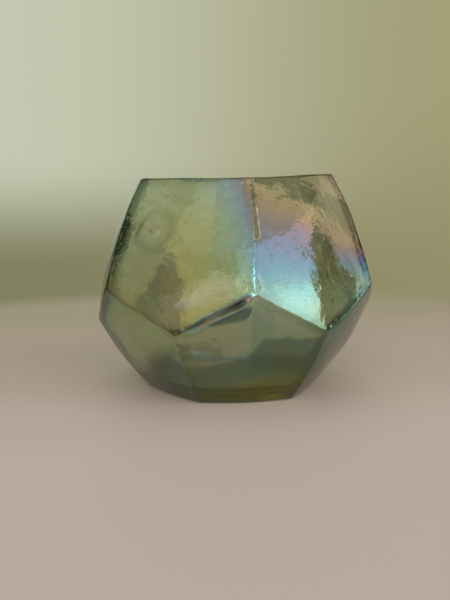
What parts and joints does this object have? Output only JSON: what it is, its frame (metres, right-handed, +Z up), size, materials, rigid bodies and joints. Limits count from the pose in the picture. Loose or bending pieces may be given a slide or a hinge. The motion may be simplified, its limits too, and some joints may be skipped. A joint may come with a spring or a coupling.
{
  "type": "faceted glass vessel",
  "caption": "Open-topped faceted glass vessel: lower facets lean out, upper facets lean in half a step round, thick flat base, level rim. Holds a candle, a plant or small things.",
  "frame": {"origin": "middle of the underside, on the surface that the vessel stands on", "axes": "+Z up along the vessel's axis through the open rim; -Y out of the middle of a lower facet"},
  "size_m": [0.1248, 0.13, 0.095],
  "materials": {
    "green_glass": "clear green-tinted glass, fire-polished, with a thin iridescent lustre film"
  },
  "bodies": {
    "root": {"glass_vessel": "green_glass"}
  },
  "joints": []
}
